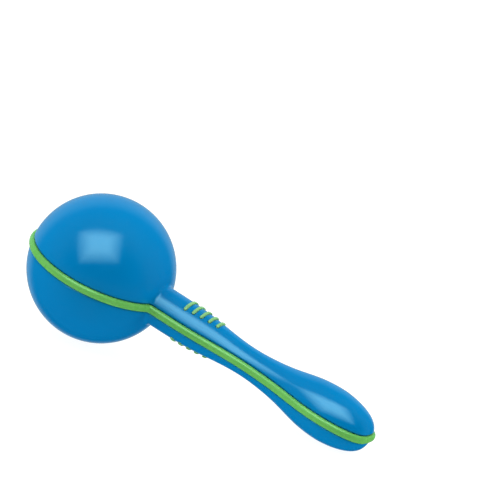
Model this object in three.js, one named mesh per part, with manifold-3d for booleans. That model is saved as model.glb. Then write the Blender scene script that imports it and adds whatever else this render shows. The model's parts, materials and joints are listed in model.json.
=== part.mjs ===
// A plastic maraca: two moulded half shells with a green seam band, rubber grip ribs and loose rattle pellets.
//
// The maraca is drawn in its own axes: the head's centre is the origin, +X runs down the handle, the joint
// between the shells lies in the XY plane, and +Z is up. It is then laid on a table with its head and the
// swelling of its handle touching the surface. Lengths are in millimetres.

import * as THREE from 'three';
import { mergeVertices } from 'three/addons/utils/BufferGeometryUtils.js';
import Module from 'manifold-3d';

const wasm = await Module();
wasm.setup();

// ---- driving dimensions ----------------------------------------------------------------------------------

const HEAD_RADIUS = 40;
const WALL = 2.4;
const GAP = 0.3;

// Radius of the hollow curve where the head runs into the handle.
const NECK_FILLET = 2.5;

// Outside radius of the round handle along its length, from inside the head to its thickest place.
const HANDLE_STATIONS = [
  { x: 36, radius: 11.4 },
  { x: 56, radius: 11.3 },
  { x: 70, radius: 10.5 },
  { x: 84, radius: 9.0 },
  { x: 98, radius: 8.25 },
  { x: 111, radius: 9.0 },
  { x: 124, radius: 10.95 },
  { x: 138, radius: 14.0 },
  { x: 152.5, radius: 15.2 },
];
const SWELL = HANDLE_STATIONS[HANDLE_STATIONS.length - 1];

// The closed end beyond the swelling: a rounded cap, blunter across than along.
const CAP_LENGTH = 25.4;
const CAP_ALONG_POWER = 1.65;
const CAP_ACROSS_POWER = 3.15;

// The seam band sits in a groove that runs all round the joint.
const BAND_HEIGHT = 4.2;
const BAND_PROUD = 1.5;
const BAND_SUNK = 0.8;
const BAND_EDGE_ROUND = 0.7;

// The chamber is closed at the neck by a bulkhead, half in each shell.
const BULKHEAD_THICKNESS = 2.2;

// Grip ribs: arcs across the top and the bottom of the neck, each shorter than the one before.
const RIB_COUNT = 5;
const FIRST_RIB_X = 55.7;
const RIB_PITCH = 4.9;
const RIB_WIDTH = 1.7;
const RIB_PROUD = 0.8;
const FIRST_RIB_HALF_ANGLE = 41;
const LAST_RIB_HALF_ANGLE = 27;
const RIB_STRIP_THICKNESS = 1.2;
const RIB_STRIP_HALF_ANGLE = 20;
const RIB_STRIP_MARGIN = 1.4;
const RIB_ROOT_OVERLAP = 0.4;

// Locating pegs on the upper shell, and the sockets in the lower shell that take them.
const PEG_PLACES = [48, 102, 150];
const PEG_RADIUS = 1.5;
const PEG_REACH = 3.6;
const SOCKET_WALL = 1.3;
const SOCKET_FLOOR_ROOM = 0.6;

// Loose pellets: rings of 1, 6 and 12 lying side by side at the bottom of the chamber.
const PELLET_RADIUS = 3;
const PELLET_PITCH = 6.5;
const PELLET_WALL_GAP = 0.6;
const PELLET_RINGS = 2;
const PELLETS_PER_RING = 6;
const PELLET_DETAIL = 1;

// Fineness of the facets.
const AROUND = 48;
const INSIDE_AROUND = 36;
const HEAD_STEPS = 16;
const FILLET_STEPS = 3;
const HANDLE_STEPS = 16;
const CAP_STEPS = 8;
const ROUND_STEPS = 16;

// ---- materials -------------------------------------------------------------------------------------------

const bluePlastic = () => new THREE.MeshStandardMaterial({ color: 0x0684c2, roughness: 0.22, metalness: 0 });
const greenRubber = () => new THREE.MeshStandardMaterial({ color: 0x5ab250, roughness: 0.45, metalness: 0 });
const pelletPlastic = () => new THREE.MeshStandardMaterial({ color: 0xe8e2d0, roughness: 0.5, metalness: 0 });

// ---- solids ----------------------------------------------------------------------------------------------

// Turns a closed three.js geometry into a solid that can be joined and cut.
function toSolid(geometry) {
  geometry.deleteAttribute('normal');
  geometry.deleteAttribute('uv');
  const merged = mergeVertices(geometry, 1e-4);
  const index = merged.index.array;
  const triangles = [];
  for (let i = 0; i < index.length; i += 3) {
    const [a, b, c] = [index[i], index[i + 1], index[i + 2]];
    if (a !== b && b !== c && c !== a) {
      triangles.push(a, b, c);
    }
  }
  const mesh = new wasm.Mesh({
    numProp: 3,
    vertProperties: merged.attributes.position.array,
    triVerts: new Uint32Array(triangles),
  });
  return new wasm.Manifold(mesh);
}

function toGeometry(solid) {
  const mesh = solid.getMesh();
  const geometry = new THREE.BufferGeometry();
  geometry.setAttribute('position', new THREE.BufferAttribute(mesh.vertProperties, 3));
  geometry.setIndex(new THREE.BufferAttribute(mesh.triVerts, 1));
  const faceted = geometry.toNonIndexed();
  faceted.computeVertexNormals();
  return faceted;
}

const joinAll = (solids) => solids.reduce((joined, solid) => joined.add(solid));

// ---- outline of the maraca -------------------------------------------------------------------------------

// Points of the handle's outline, offset outwards by `offset`, from its root to the tip of its end.
function handleOutline(offset) {
  const stations = HANDLE_STATIONS.map(({ x, radius }) => new THREE.Vector2(x, radius + offset));
  const side = new THREE.SplineCurve(stations).getPoints(HANDLE_STEPS);
  const cap = [];
  for (let step = 1; step <= CAP_STEPS; step += 1) {
    const turn = (step / CAP_STEPS) * (Math.PI / 2);
    const along = Math.sin(turn) ** (2 / CAP_ALONG_POWER);
    const across = step === CAP_STEPS ? 0 : Math.cos(turn) ** (2 / CAP_ACROSS_POWER);
    cap.push(new THREE.Vector2(
      SWELL.x + (CAP_LENGTH + offset) * along,
      (SWELL.radius + offset) * across,
    ));
  }
  return side.concat(cap);
}

// Half outline of head and handle together, from the crown of the head to the tip of the handle.
function maracaOutline(offset) {
  const headRadius = HEAD_RADIUS + offset;
  const filletRadius = NECK_FILLET - offset;
  const filletY = HANDLE_STATIONS[0].radius + NECK_FILLET;
  const filletX = Math.sqrt((HEAD_RADIUS + NECK_FILLET) ** 2 - filletY ** 2);
  const neckAngle = Math.atan2(filletY, filletX);
  const outline = [];
  for (let step = 0; step <= HEAD_STEPS; step += 1) {
    const angle = (step / HEAD_STEPS) * (Math.PI - neckAngle);
    outline.push(new THREE.Vector2(-headRadius * Math.cos(angle), headRadius * Math.sin(angle)));
  }
  outline[0].y = 0;
  for (let step = 1; step <= FILLET_STEPS; step += 1) {
    const angle = THREE.MathUtils.lerp(neckAngle - Math.PI, -Math.PI / 2, step / FILLET_STEPS);
    outline.push(new THREE.Vector2(
      filletX + filletRadius * Math.cos(angle),
      filletY + filletRadius * Math.sin(angle),
    ));
  }
  return outline.concat(handleOutline(offset).filter((point) => point.x > filletX + 1));
}

// Body of revolution about +X from a half outline that starts and ends on the axis.
function turned(outline, around) {
  const profile = outline.map((point) => new THREE.Vector2(point.y, point.x));
  const geometry = new THREE.LatheGeometry(profile, around);
  geometry.rotateZ(-Math.PI / 2);
  return toSolid(geometry);
}

// Upright prism over a half outline and its mirror image, centred on the joint plane.
function plate(outline, height, edgeRound = 0) {
  const mirrored = outline.slice(1, -1).reverse().map((point) => new THREE.Vector2(point.x, -point.y));
  const shape = new THREE.Shape(outline.concat(mirrored));
  const geometry = new THREE.ExtrudeGeometry(shape, {
    depth: height - 2 * edgeRound,
    bevelEnabled: edgeRound > 0,
    bevelThickness: edgeRound,
    bevelSize: edgeRound,
    bevelOffset: -edgeRound,
    bevelSegments: 2,
  });
  geometry.translate(0, 0, -height / 2 + edgeRound);
  return toSolid(geometry);
}

// Block across the whole maraca from x = low to x = high, and upright post standing at a place on +X.
function slab(low, high) {
  const size = 4 * HEAD_RADIUS;
  return toSolid(new THREE.BoxGeometry(high - low, size, size).translate((low + high) / 2, 0, 0));
}

function post(x, radius, bottom, top) {
  const geometry = new THREE.CylinderGeometry(radius, radius, top - bottom, ROUND_STEPS);
  geometry.rotateX(Math.PI / 2);
  geometry.translate(x, 0, (bottom + top) / 2);
  return toSolid(geometry);
}

// Everything above (side = 1) or below (side = -1) the joint plane, short of it by half the joint's gap.
function halfSpace(side) {
  const size = 6 * HEAD_RADIUS;
  const geometry = new THREE.BoxGeometry(2 * size, size, size);
  return toSolid(geometry.translate(0, 0, side * (size / 2 + GAP / 2)));
}

// Wedge about the +X axis that opens by `halfAngle` degrees to both sides of straight up or straight down.
function wedge(side, halfAngle, sideRoom = 0) {
  const reach = 2 * HANDLE_STATIONS[0].radius;
  const angle = THREE.MathUtils.degToRad(halfAngle);
  const edge = reach * Math.sin(angle) + sideRoom;
  const shape = new THREE.Shape([
    new THREE.Vector2(-sideRoom, 0),
    new THREE.Vector2(sideRoom, 0),
    new THREE.Vector2(edge, reach * Math.cos(angle)),
    new THREE.Vector2(-edge, reach * Math.cos(angle)),
  ].slice(sideRoom > 0 ? 0 : 1));
  const length = 4 * HEAD_RADIUS;
  const geometry = new THREE.ExtrudeGeometry(shape, { depth: length, bevelEnabled: false });
  geometry.rotateX(Math.PI / 2).rotateZ(Math.PI / 2);
  if (side < 0) {
    geometry.rotateX(Math.PI);
  }
  return toSolid(geometry);
}

// ---- hollow body -----------------------------------------------------------------------------------------

const outside = turned(maracaOutline(0), AROUND);
const midWall = turned(maracaOutline(-WALL / 2), AROUND);

function chamberHollow() {
  const radius = HEAD_RADIUS - WALL;
  const bulkheadX = handleHollowStart - BULKHEAD_THICKNESS;
  const sphere = new THREE.SphereGeometry(radius, INSIDE_AROUND, INSIDE_AROUND / 2);
  return toSolid(sphere).subtract(slab(bulkheadX, bulkheadX + HEAD_RADIUS));
}

function handleHollow() {
  const inner = handleOutline(-WALL).filter((point) => point.x > handleHollowStart + 1);
  const mouth = HANDLE_STATIONS[0].radius - WALL;
  const start = [new THREE.Vector2(handleHollowStart, 0), new THREE.Vector2(handleHollowStart, mouth)];
  return turned(start.concat(inner), INSIDE_AROUND);
}

const handleHollowStart = Math.sqrt(HEAD_RADIUS ** 2 - HANDLE_STATIONS[0].radius ** 2);
const hollow = joinAll([chamberHollow(), handleHollow()]);

// ---- seam band -------------------------------------------------------------------------------------------

function seamBand() {
  const rim = plate(maracaOutline(BAND_PROUD), BAND_HEIGHT, BAND_EDGE_ROUND);
  return rim.subtract(plate(maracaOutline(-BAND_SUNK), 2 * BAND_HEIGHT));
}

function bandGroove() {
  const reach = plate(maracaOutline(BAND_PROUD + GAP), BAND_HEIGHT + 2 * GAP);
  return reach.subtract(plate(maracaOutline(-BAND_SUNK - GAP), 2 * BAND_HEIGHT));
}

// ---- grip ribs -------------------------------------------------------------------------------------------

// Layer of the handle between two depths under its surface; a negative depth stands proud.
function handleLayer(shallow, deep) {
  const layer = (depth) => {
    const outline = handleOutline(-depth);
    const start = new THREE.Vector2(outline[0].x, 0);
    return turned([start, ...outline], AROUND);
  };
  return layer(shallow).subtract(layer(deep));
}

function ribPlaces() {
  const places = [];
  for (let rib = 0; rib < RIB_COUNT; rib += 1) {
    const share = rib / (RIB_COUNT - 1);
    places.push({
      x: FIRST_RIB_X + rib * RIB_PITCH,
      halfAngle: THREE.MathUtils.lerp(FIRST_RIB_HALF_ANGLE, LAST_RIB_HALF_ANGLE, share),
    });
  }
  return places;
}

function gripRibs(side) {
  const stripDepth = WALL + GAP;
  const ribLayer = handleLayer(-RIB_PROUD, stripDepth + RIB_ROOT_OVERLAP);
  const ribs = ribPlaces().map(({ x, halfAngle }) => (
    ribLayer.intersect(slab(x - RIB_WIDTH / 2, x + RIB_WIDTH / 2)).intersect(wedge(side, halfAngle))
  ));
  const lastRibX = FIRST_RIB_X + (RIB_COUNT - 1) * RIB_PITCH;
  const strip = handleLayer(stripDepth, stripDepth + RIB_STRIP_THICKNESS)
    .intersect(slab(FIRST_RIB_X - RIB_STRIP_MARGIN, lastRibX + RIB_STRIP_MARGIN))
    .intersect(wedge(side, RIB_STRIP_HALF_ANGLE));
  return joinAll([strip, ...ribs]);
}

function ribSlots(side) {
  const slots = ribPlaces().map(({ x, halfAngle }) => (
    slab(x - RIB_WIDTH / 2 - GAP, x + RIB_WIDTH / 2 + GAP).intersect(wedge(side, halfAngle, GAP))
  ));
  return joinAll(slots);
}

// ---- shells ----------------------------------------------------------------------------------------------

function halfShell(side) {
  return outside
    .subtract(hollow)
    .intersect(halfSpace(side))
    .subtract(bandGroove())
    .subtract(ribSlots(side));
}

function upperShell() {
  const pegs = PEG_PLACES.map((x) => post(x, PEG_RADIUS, -PEG_REACH, HEAD_RADIUS));
  return halfShell(1).add(joinAll(pegs).intersect(midWall));
}

function lowerShell() {
  const boreRadius = PEG_RADIUS + GAP;
  const boreFloor = -PEG_REACH - SOCKET_FLOOR_ROOM;
  const sockets = PEG_PLACES.map((x) => post(x, boreRadius + SOCKET_WALL, -HEAD_RADIUS, -GAP / 2));
  const bores = PEG_PLACES.map((x) => post(x, boreRadius, boreFloor, HEAD_RADIUS));
  return halfShell(-1).add(joinAll(sockets).intersect(midWall)).subtract(joinAll(bores));
}

// ---- the assembly ----------------------------------------------------------------------------------------

function piece(name, solid, material) {
  const mesh = new THREE.Mesh(toGeometry(solid), material);
  mesh.name = name;
  return mesh;
}

// Tilt about Y, in radians, at which the head and the handle's swelling touch the table together.
function lyingTilt() {
  const outline = handleOutline(0);
  const lowestAt = (tilt) => Math.min(
    ...outline.map((point) => -point.y * Math.cos(tilt) - point.x * Math.sin(tilt)),
  );
  let [flat, steep] = [0, Math.PI / 8];
  for (let halving = 0; halving < 40; halving += 1) {
    const middle = (flat + steep) / 2;
    if (lowestAt(middle) > -HEAD_RADIUS) {
      flat = middle;
    } else {
      steep = middle;
    }
  }
  return flat;
}

function lyingBody() {
  const body = new THREE.Group();
  body.add(piece('upper_shell', upperShell(), bluePlastic()));
  body.add(piece('lower_shell', lowerShell(), bluePlastic()));
  body.add(piece('seam_band', seamBand(), greenRubber()));
  body.add(piece('upper_grip_ribs', gripRibs(1), greenRubber()));
  body.add(piece('lower_grip_ribs', gripRibs(-1), greenRubber()));
  body.rotation.y = lyingTilt();
  return body;
}

// Pellets in rings round the lowest point of the chamber, each resting just clear of the wall.
function pellets() {
  const group = new THREE.Group();
  const bedRadius = HEAD_RADIUS - WALL - PELLET_WALL_GAP - PELLET_RADIUS;
  const addPellet = (x, y) => {
    const geometry = new THREE.IcosahedronGeometry(PELLET_RADIUS, PELLET_DETAIL);
    const number = String(group.children.length + 1).padStart(2, '0');
    const pellet = piece(`pellet_${number}`, toSolid(geometry), pelletPlastic());
    pellet.position.set(x, y, -Math.sqrt(bedRadius ** 2 - x ** 2 - y ** 2));
    group.add(pellet);
  };
  addPellet(0, 0);
  for (let ring = 1; ring <= PELLET_RINGS; ring += 1) {
    const count = ring * PELLETS_PER_RING;
    for (let place = 0; place < count; place += 1) {
      const corner = Math.floor(place / ring) * (Math.PI / 3);
      const along = place % ring;
      const x = Math.cos(corner) * ring + Math.cos(corner + (2 * Math.PI) / 3) * along;
      const y = Math.sin(corner) * ring + Math.sin(corner + (2 * Math.PI) / 3) * along;
      addPellet(x * PELLET_PITCH, y * PELLET_PITCH);
    }
  }
  return group;
}

// Origin: on the table, under the middle of the whole object.
const maraca = new THREE.Group();
maraca.add(lyingBody(), pellets());
const bounds = new THREE.Box3().setFromObject(maraca, true);
const middle = bounds.getCenter(new THREE.Vector3());
maraca.position.set(-middle.x, 0, -bounds.min.z);

export default maraca;
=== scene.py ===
import json
import math

import bmesh
import bpy
import numpy as np
from mathutils import Matrix, Vector
from mathutils.geometry import tessellate_polygon


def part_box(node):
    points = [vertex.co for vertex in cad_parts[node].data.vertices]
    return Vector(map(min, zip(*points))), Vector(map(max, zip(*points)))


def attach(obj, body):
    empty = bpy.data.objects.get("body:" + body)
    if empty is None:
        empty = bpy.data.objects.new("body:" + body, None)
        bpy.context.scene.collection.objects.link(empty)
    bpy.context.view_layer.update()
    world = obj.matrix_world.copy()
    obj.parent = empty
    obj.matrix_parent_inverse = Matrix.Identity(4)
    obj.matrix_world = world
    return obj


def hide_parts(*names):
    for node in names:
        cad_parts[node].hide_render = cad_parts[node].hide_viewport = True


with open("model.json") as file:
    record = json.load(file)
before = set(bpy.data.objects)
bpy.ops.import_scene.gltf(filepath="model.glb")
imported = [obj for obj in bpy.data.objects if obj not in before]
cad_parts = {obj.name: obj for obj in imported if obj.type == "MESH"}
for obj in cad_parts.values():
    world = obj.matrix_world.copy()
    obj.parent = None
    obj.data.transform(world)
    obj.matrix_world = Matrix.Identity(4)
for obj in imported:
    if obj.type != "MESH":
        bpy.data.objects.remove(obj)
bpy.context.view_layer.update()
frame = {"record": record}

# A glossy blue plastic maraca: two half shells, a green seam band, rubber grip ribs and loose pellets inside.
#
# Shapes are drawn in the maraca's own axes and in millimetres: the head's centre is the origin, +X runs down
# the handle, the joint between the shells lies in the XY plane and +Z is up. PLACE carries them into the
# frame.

# ---- driving dimensions, in millimetres --------------------------------------------------------------------

HEAD_RADIUS = 40.0
WALL = 2.4
JOINT_GAP = 0.3
NECK_FILLET = 2.5

# The handle's outside radius along its length, from inside the head to its thickest place.
HANDLE_X = (36, 56, 70, 84, 98, 111, 124, 138, 152.5)
HANDLE_RADIUS = (11.4, 11.3, 10.5, 9.0, 8.25, 9.0, 10.95, 14.0, 15.2)
SWELL_X, SWELL_RADIUS = HANDLE_X[-1], HANDLE_RADIUS[-1]
CAP_LENGTH = 25.4
CAP_ALONG_POWER = 1.65
CAP_ACROSS_POWER = 3.15

BAND_HEIGHT = 4.2
BAND_PROUD = 1.5
BAND_SUNK = 0.8
BAND_SECTION_POWER = 2.1
BAND_INNER_ROUND = 0.2
GROOVE_GAP = 0.3
SHELL_EDGE_DROP = 0.9

BULKHEAD_THICKNESS = 2.2

RIB_COUNT = 5
FIRST_RIB_X = 55.7
RIB_PITCH = 4.9
RIB_WIDTH = 1.7
RIB_PROUD = 0.8
RIB_EDGE_ROUND = 0.5
RIB_SLOT_GAP = 0.25
FIRST_RIB_HALF_ANGLE = math.radians(41)
LAST_RIB_HALF_ANGLE = math.radians(27)
RIB_STRIP_THICKNESS = 1.2
RIB_STRIP_HALF_ANGLE = math.radians(20)
RIB_STRIP_PAST_RIBS = 1.4
RIB_ROOT = 0.6

# The tools that cut the ribs' slots reach this far past the wall, inside and outside.
SLOT_TOOL_PAST_WALL = 1.5
SLOT_TOOL_PROUD = 2.0
SLOT_TOOL_EDGE_ROUND = 0.1

PEG_PLACES = (48, 102, 150)
PEG_RADIUS = 1.5
PEG_REACH = 3.6
SOCKET_WALL = 1.3
SOCKET_FLOOR_ROOM = 0.6
POST_CHAMFER = 0.3

PELLET_COUNT = 19
PELLET_RADIUS = 3.0

# A bead's parting ridge and gate mark. Depths are shares of its radius, and the ridge's width is in mm.
PARTING_RIDGE = 0.004
PARTING_WIDTH = 0.12
GATE_DIP = 0.02
GATE_WIDTH_SHARE = 0.12

# How far each bead is turned on from the one before it, in radians.
BEAD_SPIN = 2.4
BEAD_TUMBLE = 1.1

# Fineness of the surfaces.
HEAD_STEPS = 120
NECK_STEPS = 8
HANDLE_STEPS = 150
CAP_STEPS = 60
ACROSS_STEPS = 72
INSIDE_ACROSS_STEPS = 40
EDGE_STEPS = 6
END_WALL_RINGS = 8
POST_STEPS = 32
BAR_STEPS = 32
BAR_END_STEPS = 12
RIB_STRIP_STEPS = 24
PELLET_SUBDIVISIONS = 4
CAP_SAMPLES = 2000
NECK_PASSES = 4

# ---- place in the frame ------------------------------------------------------------------------------------

grip_axis = Vector(frame["record"]["mounts"][0]["axis"])
LYING_TILT = math.atan2(-grip_axis.z, grip_axis.x)
lowest_pellet = sum(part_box("pellet_01"), Vector()) / 2
MM = 0.001
HEAD_CENTRE = Vector((lowest_pellet.x, lowest_pellet.y, HEAD_RADIUS * MM))
TURN = Matrix.Rotation(LYING_TILT, 4, "Y")
PLACE = Matrix.Translation(HEAD_CENTRE) @ TURN @ Matrix.Scale(MM, 4)


# ---- outline -----------------------------------------------------------------------------------------------


def smooth_curve(xs, ys):
    """The smooth cubic curve through the points, level at both ends, as a function of x."""
    xs = np.array(xs, float)
    ys = np.array(ys, float)
    count = len(xs)
    gap = np.diff(xs)
    system = np.eye(count)
    right = np.zeros(count)
    for i in range(1, count - 1):
        system[i, i - 1 : i + 2] = gap[i], 2 * (gap[i - 1] + gap[i]), gap[i - 1]
        before = gap[i] * (ys[i] - ys[i - 1]) / gap[i - 1]
        after = gap[i - 1] * (ys[i + 1] - ys[i]) / gap[i]
        right[i] = 3 * (before + after)
    slopes = np.linalg.solve(system, right)

    def curve(x):
        i = np.clip(np.searchsorted(xs, x) - 1, 0, count - 2)
        t = (x - xs[i]) / gap[i]
        value = (1 + 2 * t) * (1 - t) ** 2 * ys[i] + t * t * (3 - 2 * t) * ys[i + 1]
        return value + gap[i] * (t * (1 - t) ** 2 * slopes[i] - t * t * (1 - t) * slopes[i + 1])

    return curve


handle_radius = smooth_curve(HANDLE_X, HANDLE_RADIUS)


def evenly(points, count):
    """The same path with its points at even steps, count + 1 of them."""
    along = np.concatenate([[0], np.cumsum(np.hypot(*np.diff(points, axis=0).T))])
    places = np.linspace(0, along[-1], count + 1)
    return np.column_stack([np.interp(places, along, points[:, k]) for k in (0, 1)])


def cap_curve(offset, height):
    """Plan view of the handle's rounded end, from its swelling to its tip, cut at a height."""
    radius = SWELL_RADIUS + offset
    across = radius * np.sin(np.linspace(math.pi / 2, math.asin(height / radius), CAP_SAMPLES))
    along = (1 - (across / radius) ** CAP_ACROSS_POWER).clip(0) ** (1 / CAP_ALONG_POWER)
    x = SWELL_X + (CAP_LENGTH + offset) * along
    return evenly(np.column_stack([x, np.sqrt((across**2 - height**2).clip(0))]), CAP_STEPS)


def half_outline(offset=0.0, height=0.0):
    """Plan view of the surface, moved out by offset and cut at a height, from crown to handle tip."""

    def handle_y(x):
        return np.sqrt((handle_radius(x) + offset) ** 2 - height**2)

    head = math.sqrt((HEAD_RADIUS + offset) ** 2 - height**2)
    neck_round = NECK_FILLET - offset
    neck_x = HANDLE_X[0]
    # The fillet's place depends on the handle's radius there, so a few passes settle it.
    for _ in range(NECK_PASSES):
        centre_y = float(handle_y(neck_x)) + neck_round
        neck_x = math.sqrt((head + neck_round) ** 2 - centre_y**2)
    neck_angle = math.atan2(centre_y, neck_x)
    b = np.linspace(0, math.pi - neck_angle, HEAD_STEPS + 1)
    round_head = np.column_stack([-head * np.cos(b), head * np.sin(b)])
    a = np.linspace(neck_angle - math.pi, -math.pi / 2, NECK_STEPS + 1)[1:]
    fillet = np.column_stack([neck_x + neck_round * np.cos(a), centre_y + neck_round * np.sin(a)])
    x = np.linspace(neck_x, SWELL_X, HANDLE_STEPS + 1)[1:]
    handle = np.column_stack([x, handle_y(x)])
    outline = np.vstack([round_head, fillet, handle, cap_curve(offset, height)[1:]])
    outline[0, 1] = outline[-1, 1] = 0
    return outline


def all_round(half):
    """A closed loop from a half outline and its mirror image."""
    return np.vstack([half, (half * (1, -1))[-2:0:-1]])


# ---- mesh code ---------------------------------------------------------------------------------------------


class Skin:
    """Points and faces of a piece while it is drawn in the maraca's own axes."""

    def __init__(self):
        self.points = []
        self.faces = []

    def row(self, points):
        first = len(self.points)
        self.points.extend(tuple(map(float, p)) for p in points)
        return list(range(first, len(self.points)))

    def level(self, outline, height):
        return self.row([(x, y, height) for x, y in outline])

    def bridge(self, a, b, closed=True):
        for i in range(len(a) - (0 if closed else 1)):
            k = (i + 1) % len(a)
            self.faces.append((a[i], a[k], b[k], b[i]))

    def half_turn(self, stations, height, steps):
        """Surface of revolution above a height over (x, radius) stations; returns the loop of its rim."""
        rows = []
        for x, radius in stations:
            low = math.asin(min(1.0, height / radius))
            angles = np.linspace(low, math.pi - low, steps + 1)
            rows.append(self.row([(x, radius * math.cos(a), radius * math.sin(a)) for a in angles]))
        for a, b in zip(rows, rows[1:]):
            self.bridge(a, b, closed=False)
        return [r[0] for r in rows] + [r[-1] for r in rows[-2:0:-1]]

    def flat(self, *loops):
        """A flat face inside the first loop and outside the others."""
        ring = [[Vector(self.points[i]) for i in loop] for loop in loops]
        order = [i for loop in loops for i in loop]
        self.faces.extend(tuple(order[i] for i in t) for t in tessellate_polygon(ring))

    def mesh(self, flip=False):
        """The closed mesh in the frame, in metres; flip turns the piece over, top to bottom."""
        bm = bmesh.new()
        side = -1 if flip else 1
        verts = [bm.verts.new((x, y, side * z)) for x, y, z in self.points]
        for face in self.faces:
            corners = [verts[i] for i in face]
            if len(set(corners)) > 2:
                bm.faces.new(corners)
        bmesh.ops.remove_doubles(bm, verts=bm.verts, dist=1e-4)
        bmesh.ops.dissolve_degenerate(bm, edges=bm.edges, dist=1e-5)
        bmesh.ops.recalc_face_normals(bm, faces=bm.faces)
        bm.transform(PLACE)
        made = bpy.data.meshes.new("skin")
        bm.to_mesh(made)
        bm.free()
        return made


def new_piece(name, mesh, material, sharp_angle=40):
    """A smooth-shaded object whose edges sharper than sharp_angle, in degrees, stay crisp."""
    piece = bpy.data.objects.new(name, mesh)
    mesh.name = name
    bpy.context.scene.collection.objects.link(piece)
    mesh.polygons.foreach_set("use_smooth", [True] * len(mesh.polygons))
    mesh.set_sharp_from_angle(angle=math.radians(sharp_angle))
    mesh.materials.clear()
    mesh.materials.append(material)
    return piece


def combine(base, others, operation):
    """The mesh of base after joining or cutting the others, which are used up."""
    body = bpy.data.objects.new("base", base)
    bpy.context.scene.collection.objects.link(body)
    tools = []
    for mesh in others:
        tool = bpy.data.objects.new("tool", mesh)
        bpy.context.scene.collection.objects.link(tool)
        step = body.modifiers.new("step", "BOOLEAN")
        step.operation = operation
        step.object = tool
        step.solver = "EXACT"
        tools.append(tool)
    graph = bpy.context.evaluated_depsgraph_get()
    result = bpy.data.meshes.new_from_object(body.evaluated_get(graph))
    for spent in [body, *tools]:
        bpy.data.objects.remove(spent)
    return result


# ---- shells ------------------------------------------------------------------------------------------------


def inside_stations(start_x, end_x, mouth_end):
    """Stations of one of the two hollows: the round chamber, or the handle past the bulkhead."""
    height = JOINT_GAP / 2
    outline = half_outline(-WALL, height=height)
    kept = outline[(outline[:, 0] > start_x) & (outline[:, 0] < end_x)]
    stations = [(x, math.hypot(y, height)) for x, y in kept]
    wall_x, wall_radius = (end_x, stations[-1][1]) if mouth_end else (start_x, stations[0][1])
    wall = [(wall_x, r) for r in np.linspace(height, wall_radius, END_WALL_RINGS)]
    return stations + wall[::-1] if mouth_end else wall + stations


def half_shell(side):
    """Closed mesh of one half shell: outside, rolled edge, groove for the band, joint face and hollows."""
    skin = Skin()
    groove_top = BAND_HEIGHT / 2 + GROOVE_GAP
    top = groove_top + SHELL_EDGE_DROP
    outline = half_outline(height=top)
    stations = np.column_stack([outline[:, 0], np.hypot(outline[:, 1], top)])
    rim = skin.half_turn(stations, top, ACROSS_STEPS)

    loop = all_round(outline)
    tangent = np.roll(loop, -1, axis=0) - np.roll(loop, 1, axis=0)
    normal = np.column_stack([-tangent[:, 1], tangent[:, 0]])
    normal /= np.linalg.norm(normal, axis=1)[:, None]
    # The shell's edge rolls over from the surface's own lean to straight down into the groove.
    step = np.gradient(stations, axis=0)
    lean = (top / stations[:, 1]) * step[:, 0] / np.hypot(*step.T)
    lean = np.arcsin(lean.clip(0, 0.9))
    lean = np.concatenate([lean, lean[-2:0:-1]])
    roll = SHELL_EDGE_DROP / (1 + np.sin(lean))
    last = rim
    for k in range(1, EDGE_STEPS + 1):
        angle = lean + (-math.pi / 2 - lean) * (k / EDGE_STEPS)
        out = roll * (np.cos(angle) - np.cos(lean))
        z = top + roll * (np.sin(angle) - np.sin(lean))
        spot = loop + normal * out[:, None]
        ring = skin.row(np.column_stack([spot, z]))
        skin.bridge(last, ring)
        last = ring
    floor = all_round(half_outline(-BAND_SUNK - GROOVE_GAP))
    for z in (groove_top, JOINT_GAP / 2):
        ring = skin.level(floor, z)
        skin.bridge(last, ring)
        last = ring

    bulkhead_end = math.sqrt(HEAD_RADIUS**2 - HANDLE_RADIUS[0] ** 2)
    bulkhead_start = bulkhead_end - BULKHEAD_THICKNESS
    # Past either end of the maraca.
    far = 2 * SWELL_X
    chamber = inside_stations(-far, bulkhead_start, True)
    handle = inside_stations(bulkhead_end, far, False)
    hollows = [skin.half_turn(s, JOINT_GAP / 2, INSIDE_ACROSS_STEPS) for s in (chamber, handle)]
    skin.flat(last, *hollows)
    return skin.mesh(flip=side < 0)


def post(x, radius, low, high, side):
    """Round post standing on the joint plane's normal, with a small chamfer at its lower end."""
    skin = Skin()
    turn = np.linspace(0, 2 * math.pi, POST_STEPS + 1)[:-1]
    rings = []
    for r, z in ((radius - POST_CHAMFER, low), (radius, low + POST_CHAMFER), (radius, high)):
        rings.append(skin.row([(x + r * math.cos(a), r * math.sin(a), z) for a in turn]))
    for a, b in zip(rings, rings[1:]):
        skin.bridge(a, b)
    skin.flat(rings[0])
    skin.flat(rings[-1])
    return skin.mesh(flip=side < 0)


def post_root(x):
    """Height above the joint at which a post ends, in the middle of the handle's wall."""
    return float(handle_radius(x)) - WALL / 2


def with_pegs(shell):
    """The upper shell with its locating pegs, which reach past the joint."""
    pegs = [post(x, PEG_RADIUS, -PEG_REACH, post_root(x), 1) for x in PEG_PLACES]
    return combine(shell, pegs, "UNION")


def with_sockets(shell):
    """The lower shell with the sockets that take the pegs."""
    bore = PEG_RADIUS + JOINT_GAP
    sockets = [post(x, bore + SOCKET_WALL, JOINT_GAP / 2, post_root(x), -1) for x in PEG_PLACES]
    bores = [post(x, bore, -PEG_REACH, PEG_REACH + SOCKET_FLOOR_ROOM, -1) for x in PEG_PLACES]
    return combine(combine(shell, sockets, "UNION"), bores, "DIFFERENCE")


# ---- grip ribs ---------------------------------------------------------------------------------------------


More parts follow.
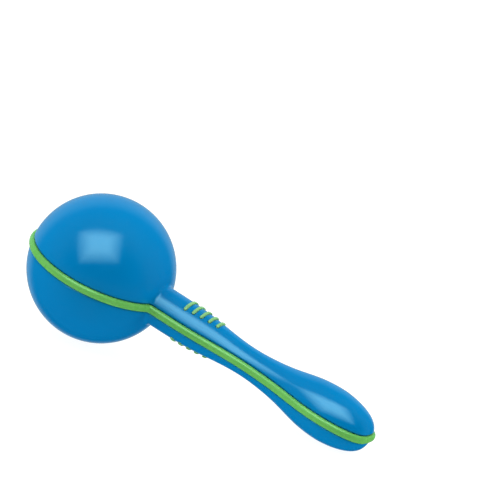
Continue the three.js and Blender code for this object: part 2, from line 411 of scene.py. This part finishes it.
def raised_bar(x, half_angle, half_width, deep, proud, edge):
    """Bar with round ends that lies across the handle's top, from deep under its surface to proud of it."""
    skin = Skin()
    surface = float(handle_radius(x))
    straight = surface * half_angle - half_width
    spans = np.linspace(-straight, straight, BAR_STEPS + 1)
    turns = np.linspace(-math.pi / 2, math.pi / 2, BAR_END_STEPS + 1)[1:-1]

    def ring(inset, depth):
        w = half_width - inset
        near = [(s, -w) for s in spans]
        far_end = [(straight + w * math.cos(t), w * math.sin(t)) for t in turns]
        back = [(s, w) for s in spans[::-1]]
        near_end = [(-straight - w * math.cos(t), -w * math.sin(t)) for t in turns]
        spots = []
        for s, across in near + far_end + back + near_end:
            radius = float(handle_radius(x + across)) + depth
            angle = s / surface
            spots.append((x + across, radius * math.sin(angle), radius * math.cos(angle)))
        return skin.row(spots)

    rings = [ring(half_width, -deep), ring(0, -deep), ring(0, proud - edge)]
    for k in range(1, EDGE_STEPS + 1):
        a = k / EDGE_STEPS * math.pi / 2
        rings.append(ring(edge * (1 - math.cos(a)), proud - edge + edge * math.sin(a)))
    rings.append(ring(half_width, proud))
    for a, b in zip(rings, rings[1:]):
        skin.bridge(a, b)
    return skin


def rib_bars(extra=0.0, deep=WALL + RIB_ROOT, proud=RIB_PROUD, edge=RIB_EDGE_ROUND):
    """The ribs of one strip, or with extra room round each the tools that cut their slots."""
    bars = []
    for rib in range(RIB_COUNT):
        share = rib / (RIB_COUNT - 1)
        half_angle = FIRST_RIB_HALF_ANGLE + share * (LAST_RIB_HALF_ANGLE - FIRST_RIB_HALF_ANGLE)
        x = FIRST_RIB_X + rib * RIB_PITCH
        half_angle += extra / float(handle_radius(x))
        bars.append(raised_bar(x, half_angle, RIB_WIDTH / 2 + extra, deep, proud, edge))
    return bars


def rib_strip():
    """The curved strip under the shell's wall that joins the ribs."""
    skin = Skin()
    half_row = RIB_PITCH * (RIB_COUNT - 1) / 2
    middle = FIRST_RIB_X + half_row
    reach = half_row + RIB_STRIP_PAST_RIBS
    stations = np.linspace(middle - reach, middle + reach, RIB_STRIP_STEPS + 1)
    turns = np.linspace(-1, 1, RIB_STRIP_STEPS + 1) * RIB_STRIP_HALF_ANGLE
    borders = []
    for depth in (WALL + GROOVE_GAP, WALL + GROOVE_GAP + RIB_STRIP_THICKNESS):
        rows = []
        for x in stations:
            radius = float(handle_radius(x)) - depth
            rows.append(skin.row([(x, radius * math.sin(a), radius * math.cos(a)) for a in turns]))
        for a, b in zip(rows, rows[1:]):
            skin.bridge(a, b, closed=False)
        one_side = [row[0] for row in rows]
        other_side = [row[-1] for row in rows]
        borders.append(one_side + rows[-1][1:] + other_side[-2::-1] + rows[0][-2:0:-1])
    skin.bridge(*borders)
    return skin


# ---- seam band ---------------------------------------------------------------------------------------------


def band_section():
    """Closed section of the band as (offset from the surface, height) pairs: a bulge with a square root."""
    half = BAND_HEIGHT / 2
    section = []
    for angle in np.linspace(-math.pi / 2, math.pi / 2, 4 * EDGE_STEPS + 1):
        out = BAND_PROUD * max(0.0, math.cos(angle)) ** (2 / BAND_SECTION_POWER)
        up = half * math.copysign(abs(math.sin(angle)) ** (2 / BAND_SECTION_POWER), angle)
        section.append((out, up))
    for start in (90, 180):
        centre_out = -BAND_SUNK + BAND_INNER_ROUND
        centre_up = (half - BAND_INNER_ROUND) * (1 if start == 90 else -1)
        for k in range(EDGE_STEPS + 1):
            angle = math.radians(start + 90 * k / EDGE_STEPS)
            out = centre_out + BAND_INNER_ROUND * math.cos(angle)
            section.append((out, centre_up + BAND_INNER_ROUND * math.sin(angle)))
    return section


def seam_band_mesh():
    skin = Skin()
    rings = []
    for offset, height in band_section():
        rings.append(skin.level(all_round(half_outline(offset)), height))
    for a, b in zip(rings, rings[1:] + rings[:1]):
        skin.bridge(a, b)
    return skin.mesh()


# ---- pellets -----------------------------------------------------------------------------------------------


def pellet_mesh(node, turn):
    """A moulded bead with a faint parting ridge and a small gate mark, turned its own way."""
    low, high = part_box(node)
    centre = (low + high) / 2
    bm = bmesh.new()
    bmesh.ops.create_icosphere(bm, subdivisions=PELLET_SUBDIVISIONS, radius=PELLET_RADIUS * MM)
    for v in bm.verts:
        ridge = math.exp(-((v.co.z / (PARTING_WIDTH * MM)) ** 2))
        from_gate = (v.co.normalized() - Vector((1, 0, 0))).length
        gate = math.exp(-((from_gate / GATE_WIDTH_SHARE) ** 2))
        v.co *= 1 + PARTING_RIDGE * ridge - GATE_DIP * gate
    spin = Matrix.Rotation(turn * BEAD_SPIN, 4, "Z") @ Matrix.Rotation(turn * BEAD_TUMBLE, 4, "X")
    bm.transform(Matrix.Translation(centre) @ spin)
    made = bpy.data.meshes.new(node)
    bm.to_mesh(made)
    bm.free()
    return made


# ---- materials ---------------------------------------------------------------------------------------------

# Darkest and lightest shade of each finish, and its smoothest and roughest spots.
BLUE_SHADES = ((0.0000, 0.212, 0.520), (0.0002, 0.235, 0.560))
BAND_SHADES = ((0.134, 0.505, 0.087), (0.165, 0.580, 0.110))
# The ribs are moulded in the band's green rubber. Their lighter shades are painted highlight, standing in for
# the light the ribs catch.
RIB_SHADES_WITH_PAINTED_HIGHLIGHT = ((0.235, 0.560, 0.200), (0.275, 0.620, 0.240))
CREAM_SHADES = ((0.72, 0.64, 0.48), (0.84, 0.78, 0.64))
FLOOR_SHADES = ((0.18, 0.18, 0.18), (0.20, 0.20, 0.20))
BLUE_ROUGHNESS = (0.11, 0.15)
GREEN_ROUGHNESS = (0.24, 0.32)
CREAM_ROUGHNESS = (0.35, 0.5)
BLUE_SPECULAR_TINT = (0.55, 0.98, 1.0, 1)
BLUE_IOR = 1.5
GREEN_IOR = 1.48
FLOOR_GLOW = 0.95

# Noise seldom leaves this range, so it is what the shades and roughnesses are spread over.
NOISE_LOW = 0.3
NOISE_HIGH = 0.7


class Finish:
    """A procedural material under construction."""

    def __init__(self, name):
        self.material = bpy.data.materials.new(name)
        self.material.use_nodes = True
        self.tree = self.material.node_tree
        self.shader = self.tree.nodes["Principled BSDF"]
        self.place = self.tree.nodes.new("ShaderNodeTexCoord")

    def link(self, a, b):
        self.tree.links.new(a, b)

    def noise(self, scale, detail=2.0, roughness=0.5):
        node = self.tree.nodes.new("ShaderNodeTexNoise")
        node.inputs["Scale"].default_value = scale
        node.inputs["Detail"].default_value = detail
        node.inputs["Roughness"].default_value = roughness
        self.link(self.place.outputs["Object"], node.inputs["Vector"])
        return node.outputs["Fac"]

    def between(self, factor, low, high):
        node = self.tree.nodes.new("ShaderNodeMapRange")
        node.inputs["From Min"].default_value = NOISE_LOW
        node.inputs["From Max"].default_value = NOISE_HIGH
        node.inputs["To Min"].default_value = low
        node.inputs["To Max"].default_value = high
        self.link(factor, node.inputs["Value"])
        return node.outputs["Result"]

    def shades(self, factor, dark, light):
        node = self.tree.nodes.new("ShaderNodeValToRGB")
        node.color_ramp.elements[0].position = NOISE_LOW
        node.color_ramp.elements[1].position = NOISE_HIGH
        node.color_ramp.elements[0].color = (*dark, 1)
        node.color_ramp.elements[1].color = (*light, 1)
        self.link(factor, node.inputs["Fac"])
        self.link(node.outputs["Color"], self.shader.inputs["Base Color"])

    def bump(self, factor, distance, under=None):
        """Relief of a height in metres, on top of another relief if one is given."""
        node = self.tree.nodes.new("ShaderNodeBump")
        node.inputs["Distance"].default_value = distance
        node.inputs["Strength"].default_value = 1.0
        self.link(factor, node.inputs["Height"])
        if under is not None:
            self.link(under, node.inputs["Normal"])
        return node.outputs["Normal"]


def blue_plastic():
    """Glossy moulded plastic: even colour with a slight drift, faint mould texture and handling haze."""
    f = Finish("blue_plastic")
    f.shades(f.noise(scale=18, detail=3), *BLUE_SHADES)
    haze = f.noise(scale=60, detail=4, roughness=0.6)
    f.link(f.between(haze, *BLUE_ROUGHNESS), f.shader.inputs["Roughness"])
    sink = f.bump(f.noise(scale=90), distance=0.00003)
    texture = f.bump(f.noise(scale=2600), distance=0.000004, under=sink)
    f.link(texture, f.shader.inputs["Normal"])
    f.shader.inputs["IOR"].default_value = BLUE_IOR
    f.shader.inputs["Specular Tint"].default_value = BLUE_SPECULAR_TINT
    return f.material


def green_rubber(name, shades):
    """Satin soft plastic: a little uneven in colour, with a fine matt grain."""
    f = Finish(name)
    f.shades(f.noise(scale=40, detail=3), *shades)
    f.link(f.between(f.noise(scale=200, detail=3), *GREEN_ROUGHNESS), f.shader.inputs["Roughness"])
    f.link(f.bump(f.noise(scale=3500, detail=3), distance=0.00001), f.shader.inputs["Normal"])
    f.shader.inputs["IOR"].default_value = GREEN_IOR
    return f.material


def pellet_plastic():
    """Plain cream beads, slightly mottled."""
    f = Finish("pellet_plastic")
    f.shades(f.noise(scale=300, detail=3), *CREAM_SHADES)
    f.link(f.between(f.noise(scale=900), *CREAM_ROUGHNESS), f.shader.inputs["Roughness"])
    f.link(f.bump(f.noise(scale=2500), distance=0.00001), f.shader.inputs["Normal"])
    return f.material


def floor_paper():
    """White paper that glows, so that hardly any shadow shows on it."""
    f = Finish("floor_paper")
    f.shades(f.noise(scale=6), *FLOOR_SHADES)
    f.shader.inputs["Roughness"].default_value = 0.9
    f.shader.inputs["Specular IOR Level"].default_value = 0.1
    f.shader.inputs["Emission Color"].default_value = (1, 1, 1, 1)
    f.shader.inputs["Emission Strength"].default_value = FLOOR_GLOW
    return f.material


BLUE = blue_plastic()
BAND_GREEN = green_rubber("band_green", BAND_SHADES)
# A lighter copy of the band's green: the extra lightness is painted highlight.
RIB_GREEN_WITH_PAINTED_HIGHLIGHT = green_rubber("rib_green_with_painted_highlight", RIB_SHADES_WITH_PAINTED_HIGHLIGHT)
CREAM = pellet_plastic()

# ---- the pieces --------------------------------------------------------------------------------------------


def finish_piece(piece, node, body):
    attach(piece, body)
    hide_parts(node)


def make_shells():
    for name, side in (("upper_shell", 1), ("lower_shell", -1)):
        tools = rib_bars(RIB_SLOT_GAP, WALL + SLOT_TOOL_PAST_WALL, SLOT_TOOL_PROUD, SLOT_TOOL_EDGE_ROUND)
        cutters = [tool.mesh(flip=side < 0) for tool in tools]
        mesh = combine(half_shell(side), cutters, "DIFFERENCE")
        mesh = with_pegs(mesh) if side > 0 else with_sockets(mesh)
        piece = new_piece(f"{name}_skin", mesh, BLUE)
        finish_piece(piece, name, "maraca")


def make_grips():
    for name, side in (("upper_grip_ribs", 1), ("lower_grip_ribs", -1)):
        bars = [bar.mesh(flip=side < 0) for bar in rib_bars()]
        mesh = combine(rib_strip().mesh(flip=side < 0), bars, "UNION")
        # Both rows of ribs take the lighter green with its painted highlight.
        piece = new_piece(f"{name}_skin", mesh, RIB_GREEN_WITH_PAINTED_HIGHLIGHT)
        finish_piece(piece, name, "maraca")


def make_band():
    piece = new_piece("seam_band_skin", seam_band_mesh(), BAND_GREEN)
    finish_piece(piece, "seam_band", "maraca")


def make_pellets():
    for number in range(1, PELLET_COUNT + 1):
        node = f"pellet_{number:02d}"
        piece = new_piece(f"{node}_bead", pellet_mesh(node, number), CREAM)
        finish_piece(piece, node, node)


make_shells()
make_grips()
make_band()
make_pellets()

# ---- floor, light and camera -------------------------------------------------------------------------------

VIEW_AZIMUTH = math.radians(20.85)
VIEW_ELEVATION = math.radians(20.5)
VIEW_ROLL = math.radians(24.87)
VIEW_WIDTH = 255.4 * MM
AIM_RIGHT_OF_HEAD = 73.75 * MM
AIM_ABOVE_HEAD = 15.1 * MM
LENS = 1000
SENSOR = 36
FLOOR_REACH = 30
FLOOR_CELLS = 8


def view_axes():
    """The camera's right, up and back directions in the frame."""
    a, e, roll = VIEW_AZIMUTH, VIEW_ELEVATION, VIEW_ROLL
    back = Vector((math.sin(a) * math.cos(e), -math.cos(a) * math.cos(e), math.sin(e)))
    level_right = Vector((math.cos(a), math.sin(a), 0))
    level_up = back.cross(level_right)
    right = level_right * math.cos(roll) + level_up * math.sin(roll)
    up = level_up * math.cos(roll) - level_right * math.sin(roll)
    turn = TURN.to_3x3()
    return turn @ right, turn @ up, turn @ back


RIGHT, UP, BACK = view_axes()
AIM = HEAD_CENTRE + RIGHT * AIM_RIGHT_OF_HEAD + UP * AIM_ABOVE_HEAD


def place_camera():
    camera = bpy.data.objects.new("camera", bpy.data.cameras.new("camera"))
    bpy.context.scene.collection.objects.link(camera)
    camera.data.sensor_width = SENSOR
    camera.data.lens = LENS
    distance = VIEW_WIDTH * LENS / SENSOR
    axes = Matrix((RIGHT, UP, BACK)).transposed().to_4x4()
    camera.matrix_world = Matrix.Translation(AIM + BACK * distance) @ axes
    camera.data.clip_end = 2 * distance
    bpy.context.scene.camera = camera


def place_floor():
    bm = bmesh.new()
    bmesh.ops.create_grid(bm, x_segments=FLOOR_CELLS, y_segments=FLOOR_CELLS, size=FLOOR_REACH)
    mesh = bpy.data.meshes.new("floor")
    bm.to_mesh(mesh)
    bm.free()
    mesh.materials.append(floor_paper())
    floor = bpy.data.objects.new("floor", mesh)
    bpy.context.scene.collection.objects.link(floor)
    floor.visible_glossy = False


def from_camera(direction):
    """The direction in the frame, from one along the camera's right, up and back."""
    return (RIGHT * direction[0] + UP * direction[1] + BACK * direction[2]).normalized()


def softbox(name, direction, distance, width, height, radiance, tint):
    """Area light that faces the maraca from a direction given along the camera's right, up and back."""
    light = bpy.data.lights.new(name, "AREA")
    light.shape = "RECTANGLE"
    light.size, light.size_y = width, height
    light.energy = radiance * math.pi * width * height
    light.color = tint
    lamp = bpy.data.objects.new(name, light)
    bpy.context.scene.collection.objects.link(lamp)
    towards = from_camera(direction)
    across = UP.cross(towards).normalized()
    axes = Matrix((across, towards.cross(across), towards)).transposed().to_4x4()
    lamp.matrix_world = Matrix.Translation(AIM + towards * distance) @ axes
    return lamp


WHITE = (1.0, 1.0, 1.0)
BLACK = (0.0, 0.0, 0.0)
COOL_WHITE = (0.82, 0.98, 1.0)

# The key light is a stack of softboxes of growing size, so that its reflection has soft edges. Directions
# here are along the camera's right, up and back, and lengths are in metres.
KEY_LAYERS = 8
KEY_SOFTNESS = 0.9
KEY_RADIANCE = 6.2
KEY_DISTANCE = 1.2
KEY_WIDTH = 1.1
KEY_HEIGHT = 0.88
KEY_RIGHT = -0.085
KEY_UP = 0.566
KEY_BACK = 0.816
SMALLEST_KEY_RISE = 0.05

# The surroundings light the maraca evenly, but for a dark patch on the camera's side and a dimmer one on the
# far side.
FILL = (2.15, 2.15, 2.15)
DARK_PATCH = (-0.05, -0.4, 0.91)
DARK_PATCH_COSINES = (0.2, 0.5)
DIM_PATCH = (0.05, 0.4, -0.91)
DIM_PATCH_COSINES = (0.2, 0.7)

# What the plastic mirrors besides the key light: a glow beyond the maraca that brightens its rim.
RIM_GLOW = (0.34, 0.46, 0.5)
RIM_GLOW_PLACE = (-0.05, 0.4, -0.92)
RIM_GLOW_COSINES = (0.55, 0.85)


class Sky:
    """World light drawn as soft glows in chosen directions."""

    def __init__(self):
        world = bpy.data.worlds.new("studio")
        world.use_nodes = True
        world.cycles.sampling_method = "NONE"
        bpy.context.scene.world = world
        self.tree = world.node_tree
        self.background = self.tree.nodes["Background"]
        self.background.inputs["Strength"].default_value = 1
        self.place = self.tree.nodes.new("ShaderNodeTexCoord")
        self.path = self.tree.nodes.new("ShaderNodeLightPath")

    def glow(self, direction, outer, inner, away, towards):
        """Colour that goes from away to towards between the cosines outer and inner to a direction."""
        facing = self.tree.nodes.new("ShaderNodeVectorMath")
        facing.operation = "DOT_PRODUCT"
        facing.inputs[1].default_value = from_camera(direction)
        self.tree.links.new(self.place.outputs["Generated"], facing.inputs[0])
        shade = self.tree.nodes.new("ShaderNodeMapRange")
        shade.interpolation_type = "SMOOTHSTEP"
        shade.inputs["From Min"].default_value = outer
        shade.inputs["From Max"].default_value = inner
        self.tree.links.new(facing.outputs["Value"], shade.inputs["Value"])
        return self.blend(shade.outputs["Result"], away, towards)

    def blend(self, factor, low, high):
        """Colour between low and high; each is a colour or the output of another blend."""
        mix = self.tree.nodes.new("ShaderNodeMix")
        mix.data_type = "RGBA"
        self.tree.links.new(factor, mix.inputs["Factor"])
        for socket, colour in ((mix.inputs[6], low), (mix.inputs[7], high)):
            if isinstance(colour, tuple):
                socket.default_value = (*colour, 1)
            else:
                self.tree.links.new(colour, socket)
        return mix.outputs[2]


def light_scene():
    sky = Sky()
    fill = sky.glow(DARK_PATCH, *DARK_PATCH_COSINES, FILL, BLACK)
    fill = sky.glow(DIM_PATCH, *DIM_PATCH_COSINES, fill, WHITE)
    mirrored = sky.glow(RIM_GLOW_PLACE, *RIM_GLOW_COSINES, BLACK, RIM_GLOW)
    light = sky.blend(sky.path.outputs["Is Glossy Ray"], fill, mirrored)
    light = sky.blend(sky.path.outputs["Is Camera Ray"], light, WHITE)
    sky.tree.links.new(light, sky.background.inputs["Color"])
    for ring in range(KEY_LAYERS):
        share = ring / (KEY_LAYERS - 1)
        size = 1 + (share - 0.5) * KEY_SOFTNESS
        towards = (KEY_RIGHT, KEY_UP + SMALLEST_KEY_RISE * (1 - share), KEY_BACK)
        width = KEY_WIDTH * size
        height = KEY_HEIGHT * size
        radiance = KEY_RADIANCE / KEY_LAYERS
        key = softbox(f"key_{ring + 1}", towards, KEY_DISTANCE, width, height, radiance, COOL_WHITE)
        key.visible_diffuse = False


bpy.context.scene.view_settings.view_transform = "Standard"
place_camera()
place_floor()
light_scene()
